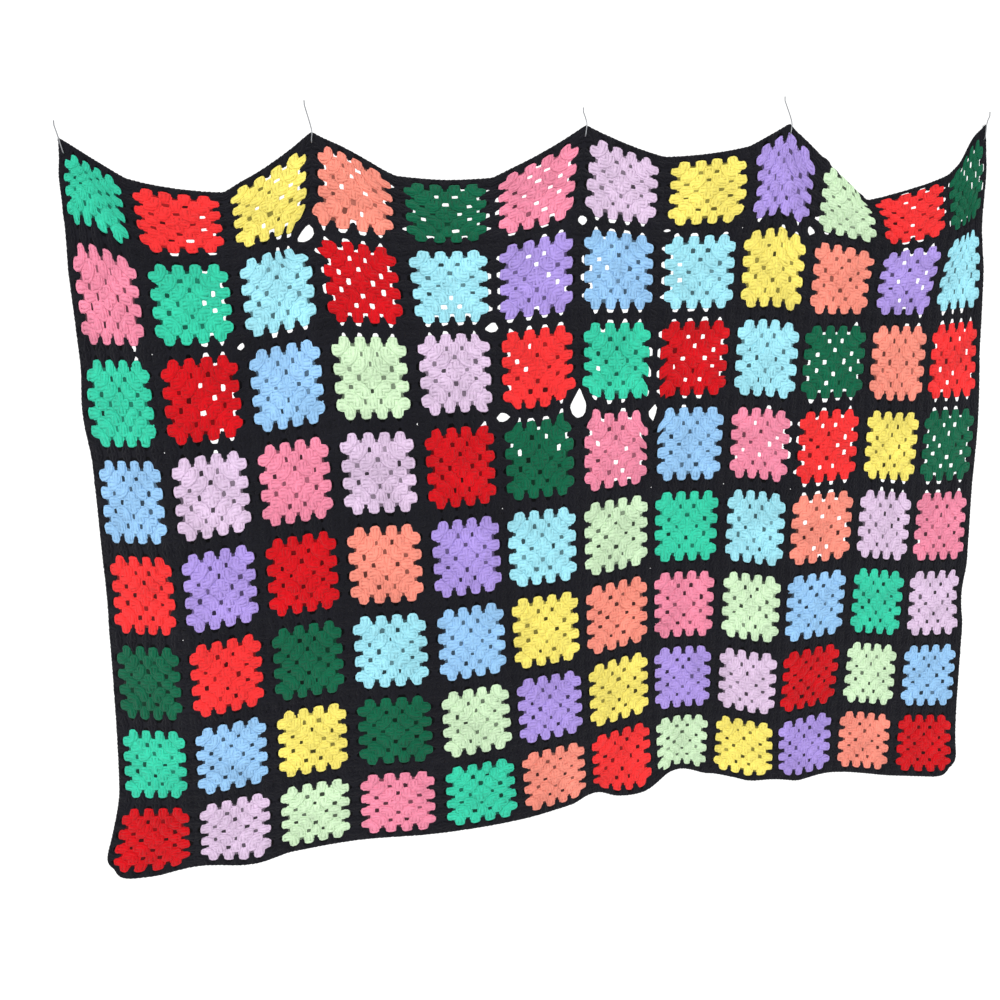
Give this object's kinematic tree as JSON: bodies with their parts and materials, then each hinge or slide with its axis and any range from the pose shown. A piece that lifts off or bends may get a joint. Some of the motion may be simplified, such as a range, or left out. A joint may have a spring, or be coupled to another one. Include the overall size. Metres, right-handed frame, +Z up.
{
  "type": "granny square blanket on wire hooks",
  "caption": "Patchwork blanket of crocheted squares, each edged in black, hung by its top edge from wire hooks, with a scalloped top and soft folds.",
  "frame": {"origin": "middle of the cut upper end of the middle wire hook", "axes": "+X to the viewer's right along the row of hooks, +Z up, the front of the blanket faces -Y"},
  "size_m": [1.3959, 0.197, 1.1072],
  "materials": {
    "yarn_black": "matt double-knit acrylic yarn, crocheted, slightly fuzzy",
    "yarn_green": "matt double-knit acrylic yarn, crocheted, slightly fuzzy",
    "yarn_red": "matt double-knit acrylic yarn, crocheted, slightly fuzzy",
    "yarn_yellow": "matt double-knit acrylic yarn, crocheted, slightly fuzzy",
    "yarn_coral": "matt double-knit acrylic yarn, crocheted, slightly fuzzy",
    "yarn_dark_green": "matt double-knit acrylic yarn, crocheted, slightly fuzzy",
    "yarn_pink": "matt double-knit acrylic yarn, crocheted, slightly fuzzy",
    "yarn_lilac": "matt double-knit acrylic yarn, crocheted, slightly fuzzy",
    "yarn_purple": "matt double-knit acrylic yarn, crocheted, slightly fuzzy",
    "yarn_pale_green": "matt double-knit acrylic yarn, crocheted, slightly fuzzy",
    "yarn_cyan": "matt double-knit acrylic yarn, crocheted, slightly fuzzy",
    "yarn_blue": "matt double-knit acrylic yarn, crocheted, slightly fuzzy",
    "yarn_dark_red": "matt double-knit acrylic yarn, crocheted, slightly fuzzy",
    "steel_wire": "drawn bright steel wire, a little dull"
  },
  "bodies": {
    "root": {"blanket": "yarn_black", "hook_1": "steel_wire", "hook_2": "steel_wire", "hook_3": "steel_wire", "hook_4": "steel_wire", "hook_5": "steel_wire"}
  },
  "joints": []
}
